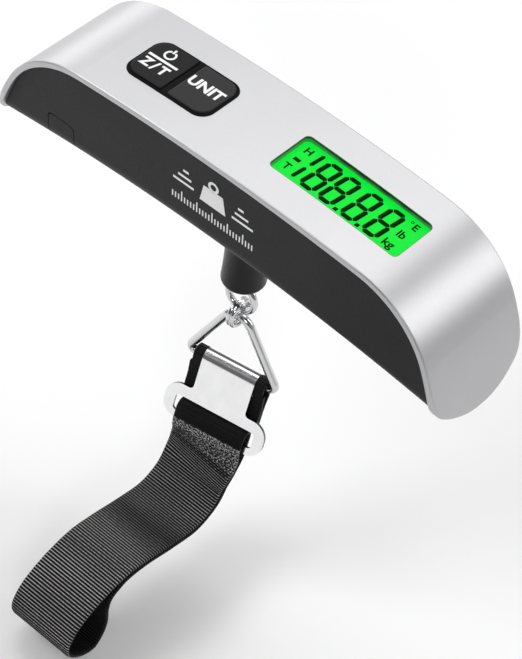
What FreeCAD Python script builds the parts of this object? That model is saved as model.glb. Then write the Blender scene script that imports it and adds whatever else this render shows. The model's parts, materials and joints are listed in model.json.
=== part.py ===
import FreeCAD, Part
import Sketcher
import math
import os
from types import SimpleNamespace

# A digital luggage scale. The housing lies along X, the load hangs down -Z, and the display and
# keys are on top. The origin is on the load axis, level with the two end tips of the housing.
# Lengths are in millimetres and angles in degrees.

V = FreeCAD.Vector
X_AXIS, Y_AXIS, Z_AXIS = V(1, 0, 0), V(0, 1, 0), V(0, 0, 1)

DIMENSIONS = (
    # The curved cover: a crown, a shoulder and a tail, each an arc tangent to the one before.
    ("crown_radius", 588.5), ("crown_angle", 4.4),
    ("shoulder_radius", 27.8), ("shoulder_angle", 65.8),
    ("tail_radius", 112.5), ("tail_angle", 76.1),
    ("cover_width", 34.1), ("cover_wall", 1.7),
    ("end_radius", 60), ("corner_radius", 3.5), ("half_length", 75),
    ("end_low", 0.1), ("end_bow", 25), ("end_round", 8),
    # The housing under it.
    ("housing_half_width", 16.8), ("draft", 3.5), ("housing_wall", 1.8), ("edge_round", 6),
    ("belly", 7.4), ("arch_radius", 572), ("section_top", 38), ("seam_gap", 0.1),
    ("housing_inset", 1.9),
    # Display window and the stack of parts behind it, which leans with the cover.
    ("window_middle", 28.3), ("window_length", 39.6), ("window_width", 14.6), ("window_round", 1.4),
    ("window_level", 36.12), ("window_lean", 2.9),
    # Keys.
    ("pad_middle", -25.75), ("pad_length", 27.3), ("pad_width", 15.6), ("pad_round", 4),
    ("rim", 0.5), ("divider", 1.7), ("key_gap", 0.15), ("key_rise", 0.7), ("key_edge", 0.45),
    ("key_low", 32), ("key_flange", 0.8), ("bezel_low", 33.2), ("bezel_flange", 0.7),
    # Board.
    ("board_low", 26.4), ("board_wall", 1.6), ("board_left", -45), ("board_right", 55),
    ("board_half_width", 13), ("board_screw_left", -42), ("board_screw_right", 52),
    ("board_screw_side", 11), ("board_post", 2.2), ("board_screw", 1), ("switch_tall", 3.3),
    # Screws of the housing.
    ("screw_end", 66), ("screw_side", 8), ("screw_shank", 1.3), ("screw_head", 2.3),
    ("post_radius", 2.8), ("post_meet", 12.9),
    # Battery bay.
    ("cell_middle", -50), ("cell_radius", 10), ("cell_low", 8.2), ("cell_tall", 3.2),
    ("door_half_length", 11), ("door_half_width", 11.5), ("door_gap", 0.25),
    ("tab_left", -55.5), ("tab_right", -46.8), ("tab_top", 15),
    # Load path.
    ("cell_bar_low", 14), ("cell_bar_tall", 8), ("cell_bar_half_width", 6),
    ("shank_radius", 2), ("running_gap", 0.06), ("sleeve_low", -15), ("sleeve_radius", 6),
    ("eye_level", -21), ("eye_radius", 4.45), ("eye_wire", 0.95),
    ("split_level", -27), ("split_radius", 3.85), ("split_wire", 0.6), ("split_yaw", 2),
    # Triangle ring, hook plate and strap.
    ("bar_level", -49.4), ("hang_yaw", 10), ("half_base", 13.9), ("base_angle", 61.55),
    ("ring_wire", 1.25), ("base_round", 1.6), ("apex_round", 4.3),
    ("hook_lean", 20), ("plate", 0.9), ("curl_radius", 1.5), ("neck_half_width", 8.1),
    ("frame_top", -9.9), ("frame_low", -20.4), ("frame_half_width", 15.45), ("frame_round", 4.6),
    ("slot_top", -13.3), ("slot_low", -18.2), ("slot_half_width", 12.3),
    ("strap_width", 21), ("strap_thick", 1.3), ("anchor_half_width", 10.7),
    ("anchor_flare", 11.5), ("anchor_tail", -12.8),
)

doc = FreeCAD.newDocument("luggage_scale")
sheet = doc.addObject("Spreadsheet::Sheet", "dims")
for row, (alias, value) in enumerate(DIMENSIONS, start=1):
    sheet.set(f"A{row}", alias)
    sheet.set(f"B{row}", str(value))
    sheet.setAlias(f"B{row}", alias)
doc.recompute()


class Size:
    """A number of the sheet, or one worked out from it, with the expression that gives it."""

    def __init__(self, value, text):
        self.value = float(value)
        self.text = text

    def __add__(self, other):
        return joined(self, "+", other, self.value + number(other))

    def __sub__(self, other):
        return joined(self, "-", other, self.value - number(other))

    def __rsub__(self, other):
        return joined(other, "-", self, number(other) - self.value)

    def __mul__(self, other):
        return joined(self, "*", other, self.value * number(other))

    def __truediv__(self, other):
        return joined(self, "/", other, self.value / number(other))

    def __neg__(self):
        return joined(0, "-", self, -self.value)

    __radd__ = __add__
    __rmul__ = __mul__


def number(size):
    return size.value if isinstance(size, Size) else float(size)


def text(size):
    return size.text if isinstance(size, Size) else f"({float(size)!r})"


def joined(first, sign, second, value):
    return Size(value, f"({text(first)} {sign} {text(second)})")


def sine(angle):
    return Size(math.sin(math.radians(number(angle))), f"sin({text(angle)})")


def cosine(angle):
    return Size(math.cos(math.radians(number(angle))), f"cos({text(angle)})")


def tangent(angle):
    return Size(math.tan(math.radians(number(angle))), f"tan({text(angle)})")


def root(size):
    return Size(math.sqrt(number(size)), f"sqrt({text(size)})")


d = SimpleNamespace(**{alias: Size(value, f"dims.{alias}") for alias, value in DIMENSIONS})


# Ways of making a solid


def placed(piece, at=(0, 0, 0), *turns):
    """Places a piece at a point after its turns, each an axis and an angle, the first one last."""
    turned_by = " * ".join(
        f"rotation(vector({axis.x}; {axis.y}; {axis.z}); {text(angle)})" for axis, angle in turns
    )
    turned_by = turned_by or "rotation(vector(0; 0; 1); 0)"
    where = "; ".join(text(part) for part in at)
    piece.setExpression("Placement", f"placement(vector({where}); {turned_by})")
    return piece


def box(low, high):
    piece = doc.addObject("Part::Box", "Box")
    for name, a, b in zip(("Length", "Width", "Height"), low, high):
        piece.setExpression(name, text(joined(b, "-", a, number(b) - number(a))))
    return placed(piece, low)


def cylinder(radius, start, length, along=Z_AXIS):
    piece = doc.addObject("Part::Cylinder", "Cylinder")
    piece.setExpression("Radius", text(radius))
    piece.setExpression("Height", text(length))
    turns = {"x": [(Y_AXIS, 90)], "y": [(X_AXIS, -90)], "z": []}
    key = "x" if along == X_AXIS else "y" if along == Y_AXIS else "z"
    return placed(piece, start, *turns[key])


def torus(radius, wire, at, *turns):
    piece = doc.addObject("Part::Torus", "Torus")
    piece.setExpression("Radius1", text(radius))
    piece.setExpression("Radius2", text(wire))
    return placed(piece, at, *turns)


def fused(*pieces):
    result = doc.addObject("Part::MultiFuse", "Fused")
    result.Shapes = list(pieces)
    return result


def common(*pieces):
    result = doc.addObject("Part::MultiCommon", "Common")
    result.Shapes = list(pieces)
    return result


def cut(base, *tools):
    result = doc.addObject("Part::Cut", "Cut")
    result.Base = base
    result.Tool = fused(*tools) if len(tools) > 1 else tools[0]
    return result


def compound(*pieces):
    """Several separate solids as one sub-part."""
    result = doc.addObject("Part::Compound", "Group")
    result.Links = list(pieces)
    return result


def origin_plane(body, role):
    return next(feature for feature in body.Origin.OriginFeatures if feature.Role == role)


def new_sketch(body, role, offset=0):
    """A sketch on a body's own origin plane, moved along the plane's normal."""
    sketch = body.newObject("Sketcher::SketchObject", "Sketch")
    sketch.AttachmentSupport = [(origin_plane(body, role), "")]
    sketch.MapMode = "FlatFace"
    sketch.setExpression("AttachmentOffset.Base.z", text(offset))
    return sketch


def arc_between(start, end, radius):
    """The short arc between two points. It turns left with a positive radius, else right."""
    chord = end - start
    left = V(-chord.y, chord.x, 0).normalize()
    side = math.copysign(1, radius)
    reach = math.sqrt(max(radius**2 - chord.Length**2 / 4, 0))
    centre = (start + end) * 0.5 + left * (side * reach)
    return Part.Arc(start, centre - left * radius, end)


def pin(sketch, edge, end, corner):
    """Holds a point of a sketch at a corner, with the corner's expressions."""
    for kind, axis, size in (("DistanceX", -2, corner[0]), ("DistanceY", -1, corner[1])):
        if number(size) == 0:
            sketch.addConstraint(Sketcher.Constraint("PointOnObject", edge, end, axis))
            continue
        index = sketch.addConstraint(Sketcher.Constraint(kind, -1, 1, edge, end, number(size)))
        sketch.setExpression(f"Constraints[{index}]", text(size))


def draw(sketch, corners, arcs=None):
    """Draws a closed outline. arcs holds the radius of the arc that leaves a corner, if any."""
    arcs = arcs or {}
    ends = []
    for i, corner in enumerate(corners):
        start = V(number(corner[0]), number(corner[1]), 0)
        after = corners[(i + 1) % len(corners)]
        end = V(number(after[0]), number(after[1]), 0)
        if i not in arcs:
            edge = sketch.addGeometry(Part.LineSegment(start, end))
            ends.append((edge, 1, 2))
            continue
        radius = number(arcs[i])
        edge = sketch.addGeometry(arc_between(start, end, radius))
        ends.append((edge, 1, 2) if radius > 0 else (edge, 2, 1))
        index = sketch.addConstraint(Sketcher.Constraint("Radius", edge, abs(radius)))
        sketch.setExpression(f"Constraints[{index}]", f"abs({text(arcs[i])})")
    for i, (edge, first, _) in enumerate(ends):
        before, _, last = ends[i - 1]
        sketch.addConstraint(Sketcher.Constraint("Coincident", before, last, edge, first))
        pin(sketch, edge, first, corners[i])


def draw_circle(sketch, middle, radius):
    edge = sketch.addGeometry(Part.Circle(V(number(middle[0]), number(middle[1]), 0), Z_AXIS, number(radius)))
    index = sketch.addConstraint(Sketcher.Constraint("Radius", edge, number(radius)))
    sketch.setExpression(f"Constraints[{index}]", text(radius))
    pin(sketch, edge, 3, middle)


def prism(role, outlines, length, start=None, circles=()):
    """A body padded from outlines on one plane, both ways from it unless a start is given."""
    body = doc.addObject("PartDesign::Body", "Body")
    sketch = new_sketch(body, role, 0 if start is None else start)
    for corners, arcs in outlines:
        draw(sketch, corners, arcs)
    for middle, radius in circles:
        draw_circle(sketch, middle, radius)
    pad = body.newObject("PartDesign::Pad", "Pad")
    pad.Profile = sketch
    pad.setExpression("Length", text(length))
    pad.SideType = "One side" if start is not None else "Symmetric"
    return body


def turned(corners, arcs=None):
    """A body turned about Z from half of its profile, drawn in the XZ plane."""
    body = doc.addObject("PartDesign::Body", "Body")
    sketch = new_sketch(body, "XZ_Plane")
    draw(sketch, corners, arcs)
    revolution = body.newObject("PartDesign::Revolution", "Revolution")
    revolution.Profile = sketch
    revolution.ReferenceAxis = (sketch, ["V_Axis"])
    revolution.Angle = 360
    return body


def rounded(x0, x1, y0, y1, r):
    """The corners and arcs of a rectangle with round corners."""
    corners = [(x0 + r, y0), (x1 - r, y0), (x1, y0 + r), (x1, y1 - r)]
    corners += [(x1 - r, y1), (x0 + r, y1), (x0, y1 - r), (x0, y0 + r)]
    return corners, {1: r, 3: r, 5: r, 7: r}


# Shapes that several sub-parts share


def profile(inward):
    """The upper outline of the housing in the XZ plane, moved inward, from right to left."""
    x1 = d.crown_radius * sine(d.crown_angle)
    x2 = x1 + d.shoulder_radius * (sine(d.shoulder_angle) - sine(d.crown_angle))
    x3 = x2 + d.tail_radius * (sine(d.tail_angle) - sine(d.shoulder_angle))
    z2 = d.tail_radius * (cosine(d.shoulder_angle) - cosine(d.tail_angle))
    z1 = z2 + d.shoulder_radius * (cosine(d.crown_angle) - cosine(d.shoulder_angle))
    right = [(x3, Size(0, "0"), d.tail_angle), (x2, z2, d.shoulder_angle), (x1, z1, d.crown_angle)]
    points = [(x - sine(a) * inward, z - cosine(a) * inward) for x, z, a in right]
    points += [(-x, z) for x, z in reversed(points)]
    bends = [d.tail_radius, d.shoulder_radius, d.crown_radius, d.shoulder_radius, d.tail_radius]
    return points, [bend - inward for bend in bends]


def under_profile(inward):
    """All that lies under the upper outline once it is moved inward."""
    points, bends = profile(inward)
    floor = -12
    corners = points + [(points[-1][0], floor), (points[0][0], floor)]
    return prism("XZ_Plane", [(corners, dict(enumerate(bends)))], 2 * d.cover_width)


def plan(inset, low=-12, tall=60):
    """The outline seen from above, with bowed ends and round corners, as a tall prism."""
    half = d.cover_width / 2 - (0 if number(inset) == 0 else d.seam_gap)
    bow, r = d.end_radius, d.corner_radius
    middle = d.half_length - inset - bow
    across = half - r
    along = root((bow - r) * (bow - r) - across * across)
    side = middle + along
    end_x = middle + along * bow / (bow - r)
    end_y = across * bow / (bow - r)
    corners = [(side, half), (-side, half), (-end_x, end_y), (-end_x, -end_y)]
    corners += [(-side, -half), (side, -half), (end_x, -end_y), (end_x, end_y)]
    arcs = {1: r, 2: bow, 3: r, 5: r, 6: bow, 7: r}
    return prism("XY_Plane", [(corners, arcs)], tall, start=low)


def arched_section(inset):
    """The cross-section with drafted sides and round lower edges, carried along the arched belly."""
    low = d.belly + inset
    r = d.edge_round - inset
    top = d.housing_half_width - inset
    foot = top - (d.section_top - low) * tangent(d.draft)
    centre = foot + r * tangent(d.draft) - r / cosine(d.draft)
    wall_x = centre + r * cosine(d.draft)
    wall_z = low + r - r * sine(d.draft)
    corners = [(-centre, low), (centre, low), (wall_x, wall_z), (top, d.section_top)]
    corners += [(-top, d.section_top), (-wall_x, wall_z)]
    body = doc.addObject("PartDesign::Body", "Body")
    sketch = new_sketch(body, "YZ_Plane")
    draw(sketch, corners, {1: r, 5: r})
    axis = sketch.addGeometry(Part.LineSegment(V(-1, -560, 0), V(1, -560, 0)), True)
    axis_level = d.belly - d.arch_radius
    pin(sketch, axis, 1, (Size(-1, "-1"), axis_level))
    pin(sketch, axis, 2, (Size(1, "1"), axis_level))
    revolution = body.newObject("PartDesign::Revolution", "Revolution")
    revolution.Profile = sketch
    revolution.ReferenceAxis = (sketch, ["Axis0"])
    revolution.Angle = 17
    revolution.Midplane = True
    return body


def four_ways(x_values, y_values, make):
    return [make(x, y) for x in x_values for y in y_values]


def lead(radius, start, corner, end, bend):
    """A wire that leaves start, turns once near corner and reaches end, as a round tube."""
    into, out = (corner - start).normalize(), (end - corner).normalize()
    turn = into.getAngle(out)
    trim = bend * math.tan(turn / 2)
    first, last = corner - into * trim, corner + out * trim
    centre_way = (out - into).normalize()
    centre = corner + centre_way * (bend / math.cos(turn / 2))
    path = Part.Wire([
        Part.LineSegment(start, first).toShape(),
        Part.Arc(first, centre - centre_way * bend, last).toShape(),
        Part.LineSegment(last, end).toShape(),
    ])
    ring = Part.Wire(Part.makeCircle(radius, start, into))
    return path.makePipeShell([ring], True, True)


sub_parts = {}


def named(label, piece):
    piece.Label = label
    sub_parts[label] = piece
    return piece


# Outer shells


def make_top_cover():
    outer, bends = profile(0)
    inner, inner_bends = profile(d.cover_wall)
    corners = outer + list(reversed(inner))
    arcs = dict(enumerate(bends))
    arcs.update({len(outer) + i: -bend for i, bend in enumerate(reversed(inner_bends))})
    band = prism("XZ_Plane", [(corners, arcs)], 2 * d.cover_width)
    window = prism("XY_Plane", [rounded(*window_span(), d.window_round)], 20, start=25)
    pad_hole = prism("XY_Plane", [rounded(*pad_span(d.key_gap), d.pad_round)], 20, start=25)
    posts = four_ways((-d.screw_end, d.screw_end), (-d.screw_side, d.screw_side),
                      lambda x, y: cylinder(d.post_radius, (x, y, d.post_meet + d.seam_gap), 30))
    posts += four_ways((d.board_screw_left, d.board_screw_right),
                       (-d.board_screw_side, d.board_screw_side),
                       lambda x, y: cylinder(d.board_post, (x, y, board_top() + 0.05), 20))
    holes = four_ways((-d.screw_end, d.screw_end), (-d.screw_side, d.screw_side),
                      lambda x, y: cylinder(d.screw_shank + 0.02, (x, y, 10), 9))
    holes += four_ways((d.board_screw_left, d.board_screw_right),
                       (-d.board_screw_side, d.board_screw_side),
                       lambda x, y: cylinder(d.board_screw + 0.02, (x, y, 25), 6))
    filled = common(fused(*posts), under_profile(d.cover_wall / 2))
    shell = common(fused(band, filled), plan(0))
    rimmed = common(softened_rim(shell), end_view())
    return named("top_cover", cut(rimmed, window, pad_hole, *holes))


def end_view():
    """The cover's outline seen along X, with a bowed lower edge and round lower corners."""
    half, bow, r = d.cover_width / 2, d.end_bow, d.end_round
    centre = d.end_low + bow
    across = half - r
    along = root((bow - r) * (bow - r) - across * across)
    foot_y = across * bow / (bow - r)
    foot_z = centre - along * bow / (bow - r)
    corners = [(-foot_y, foot_z), (foot_y, foot_z), (half, centre - along), (half, Size(60, "60"))]
    corners += [(-half, Size(60, "60")), (-half, centre - along)]
    return prism("YZ_Plane", [(corners, {0: bow, 1: r, 5: r})], 2 * d.half_length + 10)


def softened_rim(shell):
    """Rounds the cover's long rims, more on the outside than on the inside."""
    doc.recompute()
    rounds = {number(d.crown_radius): 0.5, number(d.shoulder_radius): 0.5,
              number(d.tail_radius): 0.5}
    rounds.update({radius - number(d.cover_wall): 0.25 for radius in list(rounds)})
    edges = []
    for index, edge in enumerate(shell.Shape.Edges, start=1):
        faces = shell.Shape.ancestorsOfType(edge, Part.Face)
        bent = [face.Surface for face in faces if is_turned(face, Y_AXIS)]
        sides = [face for face in faces if is_turned(face, Z_AXIS) or is_side(face)]
        if len(bent) == 1 and len(sides) == 1:
            size = next((r for bend, r in rounds.items() if abs(bent[0].Radius - bend) < 0.01), 0)
            if size:
                edges.append((index, size, size))
    rim = doc.addObject("Part::Fillet", "Rim")
    rim.Base = shell
    rim.Edges = edges
    return rim


def is_turned(face, axis):
    """Whether a face is part of a cylinder about that axis."""
    surface = face.Surface
    return isinstance(surface, Part.Cylinder) and abs(surface.Axis.dot(axis)) > 0.999


def is_side(face):
    """Whether a face is flat and looks along Y."""
    surface = face.Surface
    return isinstance(surface, Part.Plane) and abs(surface.Axis.dot(Y_AXIS)) > 0.999


def window_span():
    half_x, half_y = d.window_length / 2, d.window_width / 2
    return d.window_middle - half_x, d.window_middle + half_x, -half_y, half_y


def pad_span(grow):
    half_x, half_y = d.pad_length / 2 + grow, d.pad_width / 2 + grow
    return d.pad_middle - half_x, d.pad_middle + half_x, -half_y, half_y


def board_top():
    return d.board_low + d.board_wall


def door_prism(gap):
    """The battery door's footprint and the tab that laps up the front wall."""
    plate = box(
        (d.cell_middle - d.door_half_length - gap, -d.door_half_width - 1, -5),
        (d.cell_middle + d.door_half_length + gap, d.door_half_width + gap, 7.8),
    )
    corners, arcs = rounded(d.tab_left - gap, d.tab_right + gap, -5, d.tab_top + gap, 1.5)
    tab = prism("XZ_Plane", [(corners, arcs)], 9, start=d.door_half_width)
    front = box(
        (d.cell_middle - d.door_half_length - gap, -d.door_half_width - gap, -5),
        (d.cell_middle + d.door_half_length + gap, -d.door_half_width + 1, 7.8),
    )
    return fused(common(plate, fused(front, box(
        (d.cell_middle - 20, -d.door_half_width - gap, -6),
        (d.cell_middle + 20, d.door_half_width + 5, 9),
    ))), tab)


def housing_outer():
    return common(
        arched_section(Size(0, "0")),
        under_profile(d.cover_wall + d.seam_gap),
        plan(d.housing_inset),
    )


def housing_shell():
    hollow = common(arched_section(d.housing_wall), plan(d.housing_inset + d.housing_wall))
    return cut(housing_outer(), hollow)


def make_lower_housing():
    posts = four_ways((-d.screw_end, d.screw_end), (-d.screw_side, d.screw_side),
                      lambda x, y: cylinder(d.post_radius, (x, y, -5), d.post_meet + 5))
    pedestal = box((27, -d.cell_bar_half_width, 0), (45, d.cell_bar_half_width, d.cell_bar_low))
    shell = fused(housing_shell(), common(fused(*posts, pedestal), housing_outer()))
    holes = four_ways((-d.screw_end, d.screw_end), (-d.screw_side, d.screw_side),
                      lambda x, y: cylinder(d.screw_shank + 0.25, (x, y, -5), 25))
    holes += four_ways((-d.screw_end, d.screw_end), (-d.screw_side, d.screw_side),
                       lambda x, y: cylinder(d.screw_head + 0.2, (x, y, -5), 11.7))
    holes += [cylinder(1.52, (x, 0, 9.4), 10) for x in (32, 40)]
    holes.append(cylinder(d.sleeve_radius + 0.5, (0, 0, 0), 12))
    return named("lower_housing", cut(shell, door_prism(d.door_gap), *holes))


def make_battery_door():
    return named("battery_door", common(housing_shell(), door_prism(Size(0, "0"))))


# Display, keys and board


def in_window(low, high, half_x, half_y, r, inner=None):
    """A plate of the display stack, between two depths below the window, leaning with it."""
    outlines = [rounded(-half_x, half_x, -half_y, half_y, r)]
    if inner:
        outlines.append(rounded(-inner[0], inner[0], -inner[1], inner[1], r))
    piece = prism("XY_Plane", outlines, high - low, start=low)
    return placed(piece, (d.window_middle, 0, d.window_level), (Y_AXIS, d.window_lean))


def make_display():
    half_x, half_y = d.window_length / 2 - 0.15, d.window_width / 2 - 0.15
    named("display_lens", in_window(-1.75, -0.3, half_x, half_y, d.window_round - 0.15))
    named("lcd_panel", in_window(-3.05, -1.95, Size(20.4, "20.4"), Size(9, "9"), Size(0.4, "0.4")))
    named("backlight", in_window(-5.2, -3.15, Size(20, "20"), Size(6.9, "6.9"), Size(0.4, "0.4")))
    frame = in_window(-6.8, -2.7, Size(21.6, "21.6"), Size(10.4, "10.4"), Size(0.5, "0.5"),
                      inner=(Size(20.6, "20.6"), Size(9.2, "9.2")))
    named("lcd_frame", frame)
    slope = tangent(d.window_lean)
    top = d.window_level - 3.15
    left, right = d.window_middle - 15, d.window_middle + 15
    corners = [(left, board_top() + 0.02), (right, board_top() + 0.02),
               (right, top - slope * 15), (left, top + slope * 15)]
    strips = [prism("XZ_Plane", [(corners, None)], 1.5, start=start) for start in (7.2, -8.7)]
    named("elastomer_strips", compound(*strips))


def key_outline(side):
    """The span of one key, inside the bezel's rim and beside its divider."""
    x0, x1, y0, y1 = pad_span(Size(0, "0"))
    edge = d.rim + d.key_gap
    inner = d.divider / 2 + d.key_gap
    if side == "left":
        return x0 + edge, d.pad_middle - inner, y0 + edge, y1 - edge
    return d.pad_middle + inner, x1 - edge, y0 + edge, y1 - edge


def key_corners(side, grow, soft, tight):
    """A key's outline: its two outer corners follow the pad's corner and its inner ones are tight."""
    x0, x1, y0, y1 = key_outline(side)
    x0, x1, y0, y1 = x0 - grow, x1 + grow, y0 - grow, y1 + grow
    left, right = (soft, tight) if side == "left" else (tight, soft)
    corners = [(x0 + left, y0), (x1 - right, y0), (x1, y0 + right), (x1, y1 - right)]
    corners += [(x1 - right, y1), (x0 + left, y1), (x0, y1 - left), (x0, y0 + left)]
    return corners, {1: right, 3: right, 5: left, 7: left}


def make_key(side, name, plunger_name):
    soft = d.pad_round - d.rim - d.key_gap
    cap = common(
        prism("XY_Plane", [key_corners(side, 0, soft, Size(0.5, "0.5"))], 9, start=d.key_low + 0.4),
        under_profile(-d.key_rise),
    )
    doc.recompute()
    rim = doc.addObject("Part::Fillet", "Rim")
    rim.Base = cap
    top_edges = []
    for index, edge in enumerate(cap.Shape.Edges, start=1):
        if min(edge.valueAt(p).z for p in edge.ParameterRange) > number(d.key_low) + 3:
            top_edges.append((index, number(d.key_edge), number(d.key_edge)))
    rim.Edges = top_edges
    flange = prism("XY_Plane", [key_corners(side, Size(0.6, "0.6"), soft, Size(0.5, "0.5"))],
                   d.key_flange, start=d.key_low)
    named(name, fused(rim, flange))
    middle = (d.pad_middle + (-7 if side == "left" else 7), 0)
    named(plunger_name, cylinder(1.6, (*middle, board_top() + d.switch_tall - 0.4), 1.05))
    return middle


def make_keypad():
    soft = d.pad_round - d.rim
    openings = [
        key_corners(side, d.key_gap, soft, Size(0.5, "0.5")) for side in ("left", "right")
    ]
    bezel = common(
        prism("XY_Plane", [rounded(*pad_span(Size(0, "0")), d.pad_round)] + openings, 8,
              start=d.bezel_low),
        under_profile(Size(-0.25, "-0.25")),
    )
    flange = prism("XY_Plane", [rounded(*pad_span(Size(1.2, "1.2")), d.pad_round)] + openings,
                   d.bezel_flange, start=d.bezel_low)
    named("key_bezel", fused(bezel, flange))
    middles = [make_key("left", "power_key", "power_plunger"),
               make_key("right", "unit_key", "unit_plunger")]
    switches = []
    for x, y in middles:
        case = box((x - 3, y - 3, board_top()), (x + 3, y + 3, board_top() + d.switch_tall))
        well = cylinder(1.7, (x, y, board_top() + d.switch_tall - 1.1), 2)
        switches.append(cut(case, well))
    named("tact_switches", compound(*switches))


def make_board():
    board = box((d.board_left, -d.board_half_width, d.board_low),
                (d.board_right, d.board_half_width, board_top()))
    places = ((d.board_screw_left, d.board_screw_right), (-d.board_screw_side, d.board_screw_side))
    holes = four_ways(*places, lambda x, y: cylinder(d.board_screw + 0.15, (x, y, 20), 12))
    named("circuit_board", cut(board, *holes))
    screws = four_ways(*places, lambda x, y: fused(
        cylinder(1.9, (x, y, d.board_low - 1.4), 1.35),
        cylinder(d.board_screw, (x, y, d.board_low - 1.2), 5),
    ))
    named("board_screws", compound(*screws))
    blob = turned([(0, d.board_low - 0.02), (0, d.board_low - 1.6), (4.2, d.board_low - 0.02)],
                  {1: 6.5})
    named("controller_chip", placed(blob, (-14, 4, 0)))
    packages = [box((x, y, d.board_low - tall), (x + long, y + wide, d.board_low - 0.02))
                for x, y, long, wide, tall in ((-32, -7, 8, 5, 1.7), (-6, -10, 2, 1.2, 0.8),
                                               (-20, -10, 2, 1.2, 0.8), (-34, 6, 3.2, 1.6, 1.1),
                                               (12, 9, 2, 1.2, 0.8), (44, -6, 5, 3.5, 1.5))]
    named("board_components", compound(*packages))


# Battery bay


def make_battery_bay():
    x, top = d.cell_middle, d.cell_low + d.cell_tall
    named("battery_cell", cylinder(d.cell_radius, (x, 0, d.cell_low), d.cell_tall))
    block = box((x - 12.5, -12, d.cell_low - 0.2), (x + 12.5, 12, top + 2))
    pocket = cylinder(d.cell_radius + 0.3, (x, 0, 0), top + 0.7)
    side_slot = box((x + 9, -3.2, 0), (x + 11.4, 3.2, top + 3))
    middle_slot = box((x - 1.6, -1.2, top), (x + 1.6, 1.2, top + 3))
    held = common(block, arched_section(d.housing_wall + d.seam_gap))
    named("battery_holder", cut(held, pocket, side_slot, middle_slot))
    leaf = cylinder(6, (x, 0, top + 0.1), 0.3)
    named("negative_contact", fused(leaf, box((x - 1.4, -0.4, top + 0.2), (x + 1.4, 0.4, top + 3.4))))
    clip = box((x + 10.5, -3, d.cell_low), (x + 10.9, 3, top + 3.4))
    named("positive_contact", clip)


# Load cell and leads


def make_load_cell():
    low, high = d.cell_bar_low, d.cell_bar_low + d.cell_bar_tall
    half = d.cell_bar_half_width
    bar = box((-7, -half, low), (46, half, high))
    middle = low + d.cell_bar_tall / 2
    eyes = [cylinder(2.9, (x, -10, middle), 20, along=Y_AXIS) for x in (13, 22)]
    web = box((13, -10, middle - 0.8), (22, 10, middle + 0.8))
    bore = cylinder(d.shank_radius + d.running_gap, (0, 0, 0), 40)
    fixings = [cylinder(1.65, (x, 0, 0), 40) for x in (32, 40)]
    named("load_cell", cut(bar, *eyes, web, bore, *fixings))
    gauges = [box((x - 2, y - 1.5, z), (x + 2, y + 1.5, z + 0.15))
              for x in (13, 22) for y in (-3, 3) for z in (high + 0.02,)]
    named("strain_gauges", compound(*gauges))
    screws = [fused(cylinder(2.8, (x, 0, high + 0.05), 2.4), cylinder(1.5, (x, 0, 10.2), 13))
              for x in (32, 40)]
    named("load_cell_screws", compound(*screws))
    gauge_top, board = number(high) + 0.6, number(d.board_low)
    leads = []
    for y in (-4.2, -2.4, 2.4, 4.2):
        start, corner, end = V(26, y, gauge_top), V(29, y, gauge_top), V(29, y, board - 0.05)
        leads.append(lead(0.4, start, corner, end, 1.5))
    named_shape("sensor_leads", Part.Compound(leads))
    bay_top = number(d.cell_low) + number(d.cell_tall) + 2.6
    leads = []
    for y in (-6, 6):
        start, corner, end = V(-42, y, bay_top), V(-36, y, bay_top), V(-36, y, board - 0.05)
        leads.append(lead(0.6, start, corner, end, 3))
    named_shape("battery_leads", Part.Compound(leads))


def named_shape(label, shape):
    piece = doc.addObject("Part::Feature", "Shape")
    piece.Shape = shape
    return named(label, piece)


def make_load_path():
    r, low = d.sleeve_radius, d.sleeve_low
    bore = d.shank_radius + 0.1
    corners = [(bore, low), (r - 1.4, low), (r, low + 1.4), (r - 0.3, low + 9), (r + 0.3, low + 18.5),
               (r + 1.6, d.belly - 0.2), (r + 0.2, d.belly - 0.2), (r + 0.2, d.belly + 2),
               (r + 2, d.belly + 2), (r + 2, d.belly + 3.6), (bore, d.belly + 3.6)]
    named("load_sleeve", turned(corners, {1: 1.4, 2: -160, 3: -60, 4: -6}))
    high = d.cell_bar_low + d.cell_bar_tall
    washer = cut(cylinder(4.6, (0, 0, high + 0.02), 0.6), cylinder(bore, (0, 0, 0), 40))
    named("thrust_washer", washer)
    nut_low = high + 0.7
    flats = prism("XY_Plane", [hexagon(3.5)], 2.9, start=nut_low)
    named("lock_nut", cut(flats, cylinder(d.shank_radius + 0.02, (0, 0, 0), 40)))
    eye = torus(d.eye_radius, d.eye_wire, (0, 0, d.eye_level), (X_AXIS, 90))
    shank_low = d.eye_level + d.eye_radius - d.eye_wire / 2
    shank = cylinder(d.shank_radius, (0, 0, shank_low), nut_low + 3.1 - shank_low)
    named("swivel_eye", fused(eye, shank))


def hexagon(apothem):
    reach = apothem / math.cos(math.pi / 6)
    corners = [(reach * math.cos(math.pi * k / 3), reach * math.sin(math.pi * k / 3)) for k in range(6)]
    return [(round(x, 6), round(y, 6)) for x, y in corners], None


# Hanging pieces


def make_split_ring():
    turns = [torus(d.split_radius, d.split_wire, (0, 0, offset), (Z_AXIS, 0))
             for offset in (-0.52, 0.52)]
    named("split_ring", placed(fused(*turns), (0, -0.1, d.split_level),
                               (Z_AXIS, d.split_yaw), (Y_AXIS, 90)))


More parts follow.
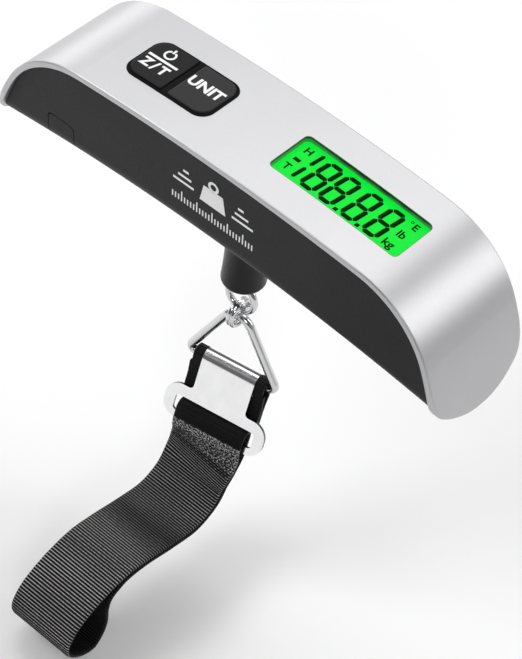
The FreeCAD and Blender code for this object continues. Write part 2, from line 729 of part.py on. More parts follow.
def make_triangle_ring():
    """A wire triangle with its base bar at the local origin and its apex up."""
    b, a = d.half_base, d.base_angle
    low_trim = d.base_round / tangent(a / 2)
    tip_trim = d.apex_round * tangent(a)
    height = b * tangent(a)
    side = b / cosine(a)
    low_x, low_z = b - low_trim * cosine(a), low_trim * sine(a)
    tip_x, tip_z = (side - tip_trim) * cosine(a), (side - tip_trim) * sine(a)
    corners = [(-(b - low_trim), 0), (b - low_trim, 0), (low_x, low_z),
               (b - tip_x, tip_z), (tip_x - b, tip_z), (-low_x, low_z)]
    body = doc.addObject("PartDesign::Body", "Body")
    spine = new_sketch(body, "XZ_Plane")
    draw(spine, corners, {1: d.base_round, 3: d.apex_round, 5: d.base_round})
    ring = new_sketch(body, "YZ_Plane")
    draw_circle(ring, (0, 0), d.ring_wire)
    pipe = body.newObject("PartDesign::AdditivePipe", "Pipe")
    pipe.Profile = ring
    pipe.Spine = (spine, [f"Edge{k}" for k in range(1, 7)])
    named("triangle_ring", placed(body, (0, 0, d.bar_level), (Z_AXIS, d.hang_yaw)))
    return height


def on_bar(piece):
    """Hangs a piece on the triangle's base bar, leaning forward."""
    return placed(piece, (0, 0, d.bar_level), (Z_AXIS, d.hang_yaw), (X_AXIS, -d.hook_lean))


def make_hook_plate():
    inner, outer = d.curl_radius, d.curl_radius + d.plate
    lip = 30
    corners = [(-outer, d.frame_top - 1), (-inner, d.frame_top - 1), (-inner, 0), (0, inner),
               (inner * cosine(lip), -inner * sine(lip)), (outer * cosine(lip), -outer * sine(lip)),
               (0, outer), (-outer, 0)]
    arcs = {2: -inner, 3: -inner, 5: outer, 6: outer}
    neck = prism("YZ_Plane", [(corners, arcs)], 2 * d.neck_half_width)
    w, n, r, f = d.frame_half_width, d.neck_half_width, d.frame_round, Size(1.2, "1.2")
    low, top = d.frame_low, d.frame_top
    right = [(w - r, low), (w, low + r), (w, top - r), (w - r, top), (n + f, top), (n, top + f)]
    corners = right + [(-x, z) for x, z in reversed(right)]
    arcs = {0: r, 2: r, 4: -f, 6: -f, 8: r, 10: r}
    slot = rounded(-d.slot_half_width, d.slot_half_width, d.slot_low, d.slot_top, Size(1.1, "1.1"))
    frame = prism("XZ_Plane", [(corners, arcs), slot], d.plate, start=inner)
    named("hook_plate", on_bar(fused(neck, frame)))


def make_strap_anchor():
    """The sewn end of the strap, wrapped round the base bar and hanging behind the plate."""
    reach, half = Size(2.55, "2.55"), Size(1.2, "1.2")
    corners = [(-half, d.anchor_tail), (half, d.anchor_tail), (half, -5), (reach, 0), (0, reach),
               (-reach, 0), (-half, -5)]
    wrap = prism("YZ_Plane", [(corners, {3: reach, 4: reach})], 2 * d.anchor_half_width,
                 circles=[((0, 0), d.ring_wire + 0.1)])
    gap = d.neck_half_width + 0.35
    notch = box((-gap, -5, -5), (gap, 5, 5))
    flare = box((-d.anchor_flare, -half, d.anchor_tail), (d.anchor_flare, half, -5.1))
    edges = [box((x, -half, -5.2), (x + 1.8, half, -1.7)) for x in (-d.anchor_flare, d.anchor_flare - 1.8)]
    named("strap_anchor", on_bar(fused(cut(wrap, notch), flare, *edges)))


def make_strap_loop():
    """The doubled webbing: a fold round the plate's lower bar, an S-shaped run and an open end."""
    bar_y = -(d.curl_radius + d.plate / 2)
    bar_z = (d.slot_low + d.frame_low) / 2
    y = bar_y * cosine(d.hook_lean) + bar_z * sine(d.hook_lean)
    z = d.bar_level + bar_z * cosine(d.hook_lean) - bar_y * sine(d.hook_lean)
    outer, inner = Size(2.75, "2.75"), Size(1.45, "1.45")
    rise = d.slot_top - 0.15 - outer - bar_z
    tip_y, tip_z = y + rise * sine(d.hook_lean), z + rise * cosine(d.hook_lean)

    def beside(centre_y, centre_z, radius):
        """The front, top, back and bottom of a circle turned to the lean of the plate."""
        a, b = radius * cosine(d.hook_lean), radius * sine(d.hook_lean)
        return [(centre_y - a, centre_z + b), (centre_y + b, centre_z + a),
                (centre_y + a, centre_z - b), (centre_y - b, centre_z - a)]

    bar, tip = beside(y, z, outer), beside(tip_y, tip_z, outer)
    corners = [bar[0], (y - 1.5, z - 6), (y + 2.2, z - 6), bar[2], tip[2], tip[1], tip[0]]
    bar, tip = beside(y, z, inner), beside(tip_y, tip_z, inner)
    cavity = [bar[0], bar[3], bar[2], tip[2], tip[1], tip[0]]
    fold = prism("YZ_Plane", [(corners, {4: outer, 5: outer}),
                              (cavity, {0: inner, 1: inner, 3: inner, 4: inner})], d.strap_width)
    placed(fold, (0, 0, 0), (Z_AXIS, d.hang_yaw))
    run = [(-9.6, -71), (-10.8, -79), (-20, -88.3), (-40.5, -85.4), (-62, -88.6), (-70.2, -98),
           (-60, -107.4), (-54, -100), (-52.8, -91.5), (-48.6, -87.5), (-40.5, -88.2), (-21, -91.2),
           (-7.9, -79.4), (-6.6, -71)]
    bends = {1: -9.6, 3: 33, 4: 11.6, 5: 9.9, 6: 7, 8: -5, 11: 13}
    opening = [(-54.3, -87.2), (-61.4, -89.8), (-68.9, -98), (-60, -106.1), (-55.3, -100),
               (-54.2, -91.4)]
    hollow = {0: 31.7, 1: 10.3, 2: 8.5, 3: 5.7}
    loop = prism("YZ_Plane", [(run, bends), (opening, hollow)], d.strap_width)
    named("strap_loop", fused(fold, loop))


def make_housing_screws():
    screws = four_ways((-d.screw_end, d.screw_end), (-d.screw_side, d.screw_side),
                       lambda x, y: fused(cylinder(d.screw_head, (x, y, 4.6), 2),
                                          cylinder(d.screw_shank, (x, y, 5), 13.5)))
    named("housing_screws", compound(*screws))


def check_and_export():
    doc.recompute()
    for thing in doc.Objects:
        if "Invalid" in thing.State or "Error" in thing.State:
            raise RuntimeError(f"{thing.Label} failed: {thing.State}")
    os.makedirs("parts", exist_ok=True)
    for label, piece in sub_parts.items():
        shape = piece.Shape
        if shape.isNull() or not shape.isValid() or not shape.Solids:
            raise RuntimeError(f"{label} has no valid solid")
        shape.exportStep(f"parts/{label}.step")
        print(f"{label:20s} {len(shape.Solids)} solids, {shape.Volume:10.1f} mm3")


make_top_cover()
make_lower_housing()
make_battery_door()
make_housing_screws()
make_display()
make_keypad()
make_board()
make_battery_bay()
make_load_cell()
make_load_path()
make_split_ring()
make_triangle_ring()
make_hook_plate()
make_strap_anchor()
make_strap_loop()
check_and_export()
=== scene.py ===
import json
import math
import random

import bmesh
import bpy
from mathutils import Matrix, Vector

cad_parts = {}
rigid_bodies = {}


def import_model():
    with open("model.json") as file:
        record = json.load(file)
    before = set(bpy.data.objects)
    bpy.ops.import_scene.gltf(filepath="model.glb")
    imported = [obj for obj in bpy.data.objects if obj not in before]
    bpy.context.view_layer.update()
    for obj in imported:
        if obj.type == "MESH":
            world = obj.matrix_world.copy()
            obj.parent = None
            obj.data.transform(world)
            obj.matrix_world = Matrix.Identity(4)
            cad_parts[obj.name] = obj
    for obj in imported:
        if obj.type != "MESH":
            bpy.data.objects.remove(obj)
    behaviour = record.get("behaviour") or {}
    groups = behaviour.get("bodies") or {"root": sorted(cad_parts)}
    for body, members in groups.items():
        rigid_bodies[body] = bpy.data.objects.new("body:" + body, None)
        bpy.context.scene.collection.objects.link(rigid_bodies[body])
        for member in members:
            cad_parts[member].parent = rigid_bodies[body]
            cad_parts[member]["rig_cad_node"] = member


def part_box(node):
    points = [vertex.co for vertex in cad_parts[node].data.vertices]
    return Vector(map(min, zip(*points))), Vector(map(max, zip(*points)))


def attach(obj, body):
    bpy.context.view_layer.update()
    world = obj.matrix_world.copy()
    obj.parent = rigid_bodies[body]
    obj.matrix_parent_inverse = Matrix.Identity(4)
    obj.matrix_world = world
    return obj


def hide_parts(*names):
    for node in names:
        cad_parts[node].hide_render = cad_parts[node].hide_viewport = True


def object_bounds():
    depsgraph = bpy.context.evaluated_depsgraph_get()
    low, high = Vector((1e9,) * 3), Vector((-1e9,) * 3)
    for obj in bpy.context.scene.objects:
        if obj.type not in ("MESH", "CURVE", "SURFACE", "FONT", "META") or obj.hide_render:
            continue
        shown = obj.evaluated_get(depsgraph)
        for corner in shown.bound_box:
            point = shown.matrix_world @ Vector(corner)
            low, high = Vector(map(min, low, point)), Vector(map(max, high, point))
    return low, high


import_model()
CAD_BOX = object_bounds()
MM = 0.001

# Sizes in millimetres and degrees.
WINDOW_MIDDLE, WINDOW_HALF_LENGTH, WINDOW_HALF_WIDTH, WINDOW_ROUND = 28.3, 19.8, 7.3, 1.4
WINDOW_HAIRLINE = 0.13
WINDOW_SHADE_FROM, WINDOW_SHADE_TO = 35.2, 35.8
DISPLAY_LEAN = 2.9
BAR_LEVEL, HOOK_YAW, HOOK_LEAN = -49.4, 10, 20
CURVE_STEP = 0.17
RIB_DEPTH = 0.09
INK_THICK = 0.04
MARK_THICK = 0.03
LEGEND_WEIGHT = 0.16
FLOOR_DROP = 2

# The webbing's map, in metres: rib pitch, yarn pitch, the ends of the fold and of the sewn part,
# the middle and reach of the hollow where the strap sags and painted shade falls, and how far the
# inner face is moved.
RIB = 0.85 * MM
YARN = 0.62 * MM
FOLD_END = 5.6 * MM
SEWN_END = 13.2 * MM
HOLLOW_MIDDLE, HOLLOW_REACH = 44 * MM, 17 * MM
INSIDE = 0.1


def cad_node(name):
    return next(o for o in bpy.data.objects if o.get("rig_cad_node") == name)


def hook_frame():
    """The hook plate's own frame on the triangle's base bar, in millimetres."""
    return (Matrix.Translation(Vector((0, 0, BAR_LEVEL)))
            @ Matrix.Rotation(math.radians(HOOK_YAW), 4, "Z")
            @ Matrix.Rotation(math.radians(-HOOK_LEAN), 4, "X"))


# Materials


class Look:
    """A Principled material with procedural colour variation, roughness variation and bump."""

    def __init__(self, name, colour, roughness, **sockets):
        self.material = bpy.data.materials.new(name)
        self.material.use_nodes = True
        self.tree = self.material.node_tree
        self.shader = self.tree.nodes["Principled BSDF"]
        self.colour = (*colour, 1.0)
        self.roughness = roughness
        self.shader.inputs["Base Color"].default_value = self.colour
        self.shader.inputs["Roughness"].default_value = roughness
        for socket, value in sockets.items():
            self.shader.inputs[socket.replace("_", " ")].default_value = value

    def node(self, kind, **values):
        node = self.tree.nodes.new(kind)
        for key, value in values.items():
            if key in node.inputs:
                node.inputs[key].default_value = value
            else:
                setattr(node, key, value)
        return node

    def link(self, source, target):
        self.tree.links.new(source, target)

    def place(self, stretch=(1, 1, 1), coordinates="Object"):
        """The row frame's coordinates or the UV map's, both in metres, scaled along each axis."""
        where = self.node("ShaderNodeTexCoord")
        mapping = self.node("ShaderNodeMapping")
        mapping.inputs["Scale"].default_value = stretch
        self.link(where.outputs[coordinates], mapping.inputs["Vector"])
        return mapping.outputs["Vector"]

    def noise(self, scale, detail=3.0, stretch=(1, 1, 1), coordinates="Object"):
        node = self.node("ShaderNodeTexNoise", Scale=scale, Detail=detail)
        self.link(self.place(stretch, coordinates), node.inputs["Vector"])
        return node.outputs["Fac"]

    def ranged(self, value, low, high, from_low=0.3, from_high=0.7):
        node = self.node("ShaderNodeMapRange")
        self.link(value, node.inputs["Value"])
        for key, number in (("From Min", from_low), ("From Max", from_high),
                            ("To Min", low), ("To Max", high)):
            node.inputs[key].default_value = number
        return node.outputs["Result"]

    def math(self, operation, a, b=None):
        node = self.node("ShaderNodeMath", operation=operation)
        for socket, value in zip(node.inputs, (a, b)):
            if value is None:
                continue
            if isinstance(value, (int, float)):
                socket.default_value = value
            else:
                self.link(value, socket)
        return node.outputs["Value"]

    def vary_colour(self, value, other, amount=1.0):
        """Mixes the base colour towards another one where the value is high."""
        node = self.node("ShaderNodeMix", data_type="RGBA")
        strength = self.math("MULTIPLY", value, amount)
        self.link(strength, node.inputs[0])
        previous = self.shader.inputs["Base Color"]
        if previous.is_linked:
            self.link(previous.links[0].from_socket, node.inputs[6])
        else:
            node.inputs[6].default_value = self.colour
        node.inputs[7].default_value = (*other, 1.0)
        self.link(node.outputs[2], previous)

    def vary_roughness(self, value, spread):
        low, high = self.roughness - spread, self.roughness + spread
        self.link(self.ranged(value, low, high), self.shader.inputs["Roughness"])

    def axes(self, coordinates="Object"):
        """The X, Y and Z of those coordinates, as the outputs of one node."""
        node = self.node("ShaderNodeSeparateXYZ")
        self.link(self.place(coordinates=coordinates), node.inputs["Vector"])
        return node.outputs

    def wave(self, value, period, low=0, high=1):
        """A sine of the value, between the two limits."""
        turns = self.math("MULTIPLY", value, 2 * math.pi / period)
        return self.ranged(self.math("SINE", turns), low, high, -1, 1)

    def bump(self, value, depth):
        node = self.node("ShaderNodeBump", Distance=depth, Strength=1.0)
        self.link(value, node.inputs["Height"])
        normal = self.shader.inputs["Normal"]
        if normal.is_linked:
            self.link(normal.links[0].from_socket, node.inputs["Normal"])
        self.link(node.outputs["Normal"], normal)


def moulded(name, colour, roughness, grain=2600, depth=0.00002, **sockets):
    """Moulded plastic: fine spark-eroded grain with faint larger unevenness."""
    look = Look(name, colour, roughness, **sockets)
    fine = look.noise(grain, 2.0)
    broad = look.noise(60, 2.0)
    look.vary_colour(look.ranged(broad, 0, 1), tuple(c * 1.35 + 0.002 for c in colour), 0.5)
    look.vary_roughness(fine, 0.06)
    look.bump(fine, depth)
    return look


def satin_paint():
    """Silver paint: metal flake grain under a satin lacquer, slightly uneven from the sprayer, with
    painted shade on the walls of the display window.
    """
    look = Look("silver_paint", (0.49, 0.49, 0.50), 0.40, Metallic=0.78)
    look.shader.inputs["Coat Weight"].default_value = 0.10
    look.shader.inputs["Coat Roughness"].default_value = 0.3
    flake = look.noise(2300, 3.0)
    look.vary_colour(look.ranged(flake, 0, 1, 0.35, 0.75), (0.44, 0.44, 0.45), 0.4)
    cloud = look.noise(45, 2.0)
    look.vary_colour(look.ranged(cloud, 0, 1), (0.54, 0.54, 0.55), 0.35)
    # Painted shade: dark green on the display window's walls and in a hairline round its edge.
    look.vary_colour(window_recess_shade(look), (0.045, 0.075, 0.05))
    look.vary_roughness(look.noise(900, 3.0), 0.012)
    look.bump(flake, 0.000003)
    return look


def window_recess_shade(look):
    """Painted shade of the window's recess: full on the top of its walls and in a hairline round
    it, a quarter lower down.
    """
    where = look.axes()

    def beyond(axis, middle, half):
        away = look.math("ABSOLUTE", look.math("SUBTRACT", where[axis], middle * MM))
        straight = (half - WINDOW_ROUND) * MM
        past = look.math("MAXIMUM", look.math("SUBTRACT", away, straight), 0)
        return look.math("MULTIPLY", past, past)

    reach = look.math("ADD", beyond("X", WINDOW_MIDDLE, WINDOW_HALF_LENGTH),
                      beyond("Y", 0, WINDOW_HALF_WIDTH))
    outline = look.math("LESS_THAN", look.math("SQRT", reach),
                        (WINDOW_ROUND + WINDOW_HAIRLINE) * MM)
    slope = math.tan(math.radians(DISPLAY_LEAN))
    fall = look.math("MULTIPLY", look.math("SUBTRACT", where["X"], WINDOW_MIDDLE * MM), slope)
    height = look.math("ADD", where["Z"], fall)
    # The painted shade is strongest at the top of the walls and a quarter as strong lower down.
    dark = look.ranged(height, 0.25, 1, WINDOW_SHADE_FROM * MM, WINDOW_SHADE_TO * MM)
    return look.math("MULTIPLY", outline, dark)


def plated(name, colour=(0.86, 0.86, 0.87), roughness=0.12, brushed=(1, 1, 1)):
    """Polished plating: almost a mirror, with hairline scratches and faint ripple."""
    look = Look(name, colour, roughness, Metallic=1.0)
    scratches = look.noise(1500, 4.0, brushed)
    look.vary_roughness(scratches, roughness * 0.2)
    look.vary_colour(look.ranged(look.noise(220, 3.0), 0, 1), tuple(c * 0.82 for c in colour), 0.4)
    look.bump(look.noise(120, 1.0), 0.000004)
    look.bump(scratches, 0.0000002)
    return look


def pressed_plate():
    """Plated sheet with painted shade on its sheared edges and on the flank of its curl, wherever
    its faces turn away from the sheet's face.
    """
    look = plated("plate_chrome", (0.90, 0.90, 0.91), 0.16, (1, 0.06, 0.06))
    where = look.node("ShaderNodeTexCoord")
    facing = look.node("ShaderNodeVectorMath", operation="DOT_PRODUCT")
    look.link(where.outputs["Normal"], facing.inputs[0])
    facing.inputs[1].default_value = hook_frame().to_3x3() @ Vector((0, 1, 0))
    turned_away_shade = look.ranged(look.math("ABSOLUTE", facing.outputs["Value"]), 1, 0, 0.15, 0.5)
    # Painted shade: faces that turn away from the sheet's face are mixed towards dark grey.
    look.vary_colour(turned_away_shade, (0.16, 0.16, 0.17))
    return look


def machined(name, colour, roughness=0.32, stretch=(0.05, 1, 1)):
    """Turned or milled metal with fine tool marks."""
    look = Look(name, colour, roughness, Metallic=1.0)
    marks = look.noise(3000, 3.0, stretch)
    look.vary_roughness(marks, 0.1)
    look.vary_colour(look.ranged(look.noise(150, 2.0), 0, 1), tuple(c * 0.8 for c in colour), 0.5)
    look.bump(marks, 0.00001)
    return look


def webbing(name):
    """Black nylon webbing: cross ribs whose crests carry painted highlights, dotted along the
    single yarns.
    """
    look = Look(name, (0.0035, 0.0035, 0.0038), 0.55)
    look.shader.inputs["Specular IOR Level"].default_value = 0.14
    where = look.axes("UV")
    across, along = where["X"], where["Y"]
    ribs = look.wave(along, RIB)
    dots = look.wave(across, YARN, 0.7, 1)
    yarns = look.ranged(look.noise(1, 2.0, (1900, 1100, 1), "UV"), 0.5, 1)
    wear_and_hollow_shade = look.ranged(look.noise(1, 1.0, (40, 90, 1), "UV"), 0.6, 1)
    # Where the strap sags into its hollow, the ribs close up and catch less light, so painted shade
    # dims their painted highlights there.
    reach = look.math("ABSOLUTE", look.math("SUBTRACT", along, HOLLOW_MIDDLE))
    wear_and_hollow_shade = look.math("MULTIPLY", wear_and_hollow_shade, look.ranged(reach, 0.2, 1, 0, HOLLOW_REACH))
    crest = look.math("MULTIPLY", look.math("POWER", ribs, 7.0),
                      look.math("MULTIPLY", dots, yarns))
    crest = look.math("MULTIPLY", crest, wear_and_hollow_shade)
    # The first few millimetres are the smooth fold, and the next ones are sewn flat.
    woven = look.ranged(along, 0, 1, FOLD_END, FOLD_END + 0.4 * MM)
    sewn = look.math("MULTIPLY", woven, look.ranged(along, 1, 0, SEWN_END, SEWN_END + MM))
    speckle = look.ranged(look.noise(1, 2.0, (2300, 2100, 1), "UV"), 0, 1, 0.50, 0.62)
    thinned = look.math("SUBTRACT", 1, look.math("MULTIPLY", sewn, 0.62))
    shine = look.math("ADD", look.math("MULTIPLY", look.math("MULTIPLY", crest, woven), thinned),
                      look.math("MULTIPLY", look.math("MULTIPLY", speckle, sewn), 0.55))
    # The inner face's map is moved sideways, and painted shade dulls its highlights.
    outside = look.math("LESS_THAN", across, INSIDE / 2)
    shine = look.math("MULTIPLY", shine, look.ranged(outside, 0.06, 1, 0, 1))
    # Painted highlights: the shine mixes the black base towards near white, on the crests of the
    # woven part and in speckle on the sewn part.
    look.vary_colour(shine, (0.95, 0.95, 0.96))
    look.vary_roughness(look.noise(1, 3.0, (1500, 700, 1), "UV"), 0.1)
    look.bump(look.math("MULTIPLY", ribs, 0.6), 0.00016)
    look.bump(yarns, 0.00009)
    return look


def shaded_webbing_copy(name):
    """A painted-shade copy of the same webbing, for where it is folded away from the light: nearly
    black, with fine ribs.
    """
    look = Look(name, (0.0030, 0.0030, 0.0032), 0.6)
    look.shader.inputs["Specular IOR Level"].default_value = 0.15
    ribs = look.wave(look.axes("UV")["Y"], RIB)
    look.vary_colour(look.math("POWER", ribs, 2.0), (0.008, 0.008, 0.009))
    look.vary_roughness(look.noise(1, 3.0, (1500, 700, 1), "UV"), 0.1)
    look.bump(ribs, 0.0001)
    return look


def lit_green(name, colour, glow, strength):
    """A lit part of the display: green with a faint mesh and a slightly uneven glow."""
    look = Look(name, colour, 0.4)
    look.shader.inputs["Specular IOR Level"].default_value = 0.1
    look.vary_colour(look.ranged(look.noise(90, 1.0), 0, 1), tuple(c * 0.8 for c in colour), 0.6)
    look.shader.inputs["Emission Color"].default_value = (*glow, 1.0)
    look.shader.inputs["Emission Strength"].default_value = strength
    look.vary_roughness(look.noise(1400, 2.0), 0.05)
    look.bump(look.noise(2500, 1.0), 0.000004)
    return look


def clear(name, tint, alpha, roughness):
    """Clear plastic with a faintly uneven surface."""
    look = Look(name, tint, roughness, Alpha=alpha, IOR=1.49)
    look.shader.inputs["Specular IOR Level"].default_value = 0.05
    look.vary_roughness(look.noise(400, 3.0), 0.02)
    look.bump(look.noise(60, 1.0), 0.000001)
    return look


def printed(name, colour, roughness=0.5, gloss=0.5):
    """A thin printed layer of ink, foil or lacquer."""
    look = Look(name, colour, roughness, Specular_IOR_Level=gloss)
    look.vary_colour(look.ranged(look.noise(1800, 2.0), 0, 1), tuple(c * 0.86 for c in colour), 0.5)
    look.bump(look.noise(2600, 2.0), 0.000008)
    return look


LOOKS = {
    "silver": satin_paint(),
    "shell": moulded("black_shell", (0.011, 0.011, 0.012), 0.5, Specular_IOR_Level=0.17),
    "key": moulded("key_black", (0.006, 0.006, 0.007), 0.40, 1800, 0.000012,
                   Specular_IOR_Level=0.12),
    "bezel": moulded("bezel_black", (0.003, 0.003, 0.003), 0.45, 1800, 0.000012,
                     Specular_IOR_Level=0.05),
    # The unit key is a lighter grey than the power key: painted reflection.
    "key_painted_sheen": moulded("key_dark_grey", (0.018, 0.018, 0.019), 0.40, 1800, 0.000012,
                        Specular_IOR_Level=0.16),
    "sleeve": moulded("sleeve_black", (0.004, 0.004, 0.005), 0.34, 1500, 0.00002,
                      Specular_IOR_Level=0.22),
    "frame": moulded("frame_black", (0.01, 0.01, 0.01), 0.6),
    "strip": moulded("strip_rubber", (0.52, 0.50, 0.46), 0.7),
    "chip": moulded("chip_black", (0.015, 0.015, 0.016), 0.4, 3200),
    "vinyl": moulded("lead_vinyl", (0.30, 0.02, 0.015), 0.38, 2200),
    "ring": plated("ring_chrome", (0.68, 0.68, 0.69)),
    "plate": pressed_plate(),
    "steel": machined("screw_steel", (0.58, 0.58, 0.60)),
    "nickel": machined("contact_nickel", (0.66, 0.62, 0.54)),
    "cell": machined("cell_steel", (0.66, 0.66, 0.66), 0.24, (1, 1, 1)),
    "beam": machined("beam_aluminium", (0.72, 0.72, 0.74)),
    "foil": printed("gauge_foil", (0.55, 0.26, 0.07), 0.35),
    "board": printed("board_green", (0.012, 0.13, 0.045), 0.32),
    "green": lit_green("backlight_green", (0.0, 0.55, 0.05), (0.0, 0.9, 0.06), 0.6),
    "clear": clear("lens_clear", (0.02, 0.05, 0.02), 0.05, 0.22),
    "glass": lit_green("display_lit", (0.0, 0.06, 0.003), (0.0, 0.90, 0.045), 0.98),
    "ink": printed("white_ink", (0.86, 0.86, 0.86)),
    "segment": printed("segment_dark", (0.0, 0.022, 0.002), 0.6, 0.0),
    "webbing": webbing("webbing_black"),
    "webbing_shaded": shaded_webbing_copy("webbing_painted_shade"),
    "thread": moulded("thread_black", (0.03, 0.03, 0.032), 0.5, 5000, 0.00004),
}

NODE_LOOKS = {
    "silver": ("top_cover",),
    "shell": ("lower_housing", "battery_door"),
    "key": ("power_key",),
    "bezel": ("key_bezel",),
    "key_painted_sheen": ("unit_key",),
    "sleeve": ("load_sleeve",),
    "frame": ("lcd_frame", "battery_holder", "power_plunger", "unit_plunger"),
    "strip": ("elastomer_strips",),
    "chip": ("controller_chip", "board_components"),
    "vinyl": ("sensor_leads", "battery_leads"),
    "ring": ("swivel_eye", "split_ring", "triangle_ring"),
    "plate": ("hook_plate",),
    "steel": ("housing_screws", "board_screws", "load_cell_screws", "thrust_washer", "lock_nut",
              "tact_switches"),
    "nickel": ("negative_contact", "positive_contact"),
    "cell": ("battery_cell",),
    "beam": ("load_cell",),
    "foil": ("strain_gauges",),
    "board": ("circuit_board",),
    "green": ("backlight",),
    "clear": ("display_lens",),
    "glass": ("lcd_panel",),
}


def dress(node, look):
    """Gives a carried CAD node its finish."""
    target = cad_node(node)
    for slot in target.material_slots:
        slot.material = LOOKS[look].material
    if not target.material_slots:
        target.data.materials.append(LOOKS[look].material)


for look_name, node_names in NODE_LOOKS.items():
    for node_name in node_names:
        dress(node_name, look_name)


# Making pieces


def piece(name, mesh, look, body, smooth=True):
    """Puts a finished bmesh into the scene, riding on its body."""
    data = bpy.data.meshes.new(name)
    bmesh.ops.recalc_face_normals(mesh, faces=mesh.faces)
    mesh.to_mesh(data)
    mesh.free()
    data.polygons.foreach_set("use_smooth", [smooth] * len(data.polygons))
    made = bpy.data.objects.new(name, data)
    bpy.context.collection.objects.link(made)
    data.materials.append(LOOKS[look].material)
    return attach(made, body)


class Plane:
    """A flat or bent drawing surface, from drawing millimetres to the row frame's metres."""

    def __init__(self, origin, along, across, bend=0.0):
        self.origin, self.along, self.across = Vector(origin), Vector(along), Vector(across)
        self.up = self.along.cross(self.across).normalized()
        self.bend = bend

    def at(self, x, y, lift=0.0):
        drop = x * x / (2 * self.bend) if self.bend else 0.0
        flat = self.origin + (self.along * x + self.across * y) * MM
        return flat + self.up * (lift - drop) * MM


def slab(mesh, plane, outline, thick, holes=()):
    """A flat printed shape: an outline in drawing millimetres, raised by its thickness."""
    loops = []
    for points in (outline, *holes):
        verts = [mesh.verts.new(plane.at(x, y, thick)) for x, y in points]
        edges = [mesh.edges.new((verts[i - 1], verts[i])) for i in range(len(verts))]
        loops.append((verts, edges))
    edges = [edge for _, some in loops for edge in some]
    filled = bmesh.ops.triangle_fill(mesh, use_beauty=True, use_dissolve=False, edges=edges)
    top = [face for face in filled["geom"] if isinstance(face, bmesh.types.BMFace)]
    walls = bmesh.ops.extrude_face_region(mesh, geom=top)
    down = [v for v in walls["geom"] if isinstance(v, bmesh.types.BMVert)]
    bmesh.ops.translate(mesh, verts=down, vec=plane.up * (-thick) * MM)


def slanted(points, lean):
    return [(x + y * lean, y) for x, y in points]


def shifted(points, dx, dy):
    return [(x + dx, y + dy) for x, y in points]


# The display


def hexagon_bar(x0, y0, x1, y1, wide):
    """One stroke of a segment digit, with pointed ends."""
    run, rise = x1 - x0, y1 - y0
    length = math.hypot(run, rise)
    ux, uy = run / length, rise / length
    half = wide / 2
    px, py = -uy * half, ux * half
    tip = half * 0.9
    return [
        (x0, y0),
        (x0 + ux * tip + px, y0 + uy * tip + py),
        (x1 - ux * tip + px, y1 - uy * tip + py),
        (x1, y1),
        (x1 - ux * tip - px, y1 - uy * tip - py),
        (x0 + ux * tip - px, y0 + uy * tip - py),
    ]


def digit_strokes(wide, tall, stroke):
    """The seven strokes of an eight, centred on its middle bar's centre, before it leans."""
    x, y, gap = wide / 2, tall / 2, 0.12
    bars = [((-x + gap, sy), (x - gap, sy)) for sy in (-y, 0, y)]
    bars += [((sx, low + gap), (sx, high - gap))
             for sx in (-x, x) for low, high in ((-y, 0), (0, y))]
    return [hexagon_bar(*a, *b, stroke) for a, b in bars]


def text_outline(words, size, plane, lift, name, look, body, stroke):
    """Generic lettering from Blender's own font, as a mesh on a plane."""
    curve = bpy.data.curves.new(name, "FONT")
    curve.body = words
    curve.size = size
    curve.align_x = "CENTER"
    curve.align_y = "CENTER"
    curve.offset = stroke
    curve.extrude = 0.02
    made = bpy.data.objects.new(name, curve)
    bpy.context.collection.objects.link(made)
    bpy.context.view_layer.update()
    depsgraph = bpy.context.evaluated_depsgraph_get()
    data = bpy.data.meshes.new_from_object(made.evaluated_get(depsgraph))
    bpy.data.objects.remove(made)
    for vertex in data.vertices:
        x, y, z = vertex.co
        vertex.co = plane.at(x, y, lift + z)
    solid = bpy.data.objects.new(name, data)
    bpy.context.collection.objects.link(solid)
    data.materials.clear()
    data.materials.append(LOOKS[look].material)
    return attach(solid, body)


def make_display():
    """The digits, signs and unit letters, printed just above the display glass."""
    low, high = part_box("lcd_panel")
    lean = math.radians(DISPLAY_LEAN)
    along = Vector((math.cos(lean), 0, -math.sin(lean)))
    middle = Vector(((low.x + high.x) / 2, 0, (low.z + high.z) / 2))
    half_glass, air, slant = 0.55, 0.01, 0.095
    flat = face_up(Plane(middle, along, (0, 1, 0)), half_glass + air)
    marks = bmesh.new()
    for x in (-9.5, -3.7, 3.3, 10.1):
        for bar in digit_strokes(3.75, 10.3, 1.28):
            slab(marks, flat, shifted(slanted(bar, slant), x, 0.7), MARK_THICK)
    for y0, y1 in ((1.1, 6.3), (-4.9, 0.0)):
        bar = hexagon_bar(0, y0, 0, y1, 1.05)
        slab(marks, flat, shifted(slanted(bar, slant), -14.0, 0.3), MARK_THICK)
    for x in (-0.55, 6.25):
        dot = [(x - 0.6, -5.1), (x + 0.5, -5.1), (x + 0.6, -4.0), (x - 0.5, -4.0)]
        slab(marks, flat, dot, MARK_THICK)
    minus = [(-18.2, 0.0), (-16.3, 0.0), (-16.2, 1.1), (-18.1, 1.1)]
    slab(marks, flat, minus, MARK_THICK)
    piece("display_digits", marks, "segment", "housing", smooth=False)
    for name, words, x, y, size in (("display_mark_h", "H", -17.0, 4.6, 3.1),
                                    ("display_mark_t", "T", -17.5, -2.9, 3.1),
                                    ("display_unit_e", "E", 16.2, 5.2, 3.1),
                                    ("display_unit_lb", "lb", 15.3, 1.0, 3.2),
                                    ("display_unit_kg", "kg", 14.9, -3.4, 3.4)):
        text_outline(words, size, shifted_plane(flat, x, y), 0.0, name, "segment", "housing",
                     stroke=0.08)
    ring = bmesh.new()
    slab(ring, shifted_plane(flat, 14.6, 6.1), circle(0.42, 20), MARK_THICK, [circle(0.24, 20)])
    piece("display_mark_degree", ring, "segment", "housing", smooth=False)


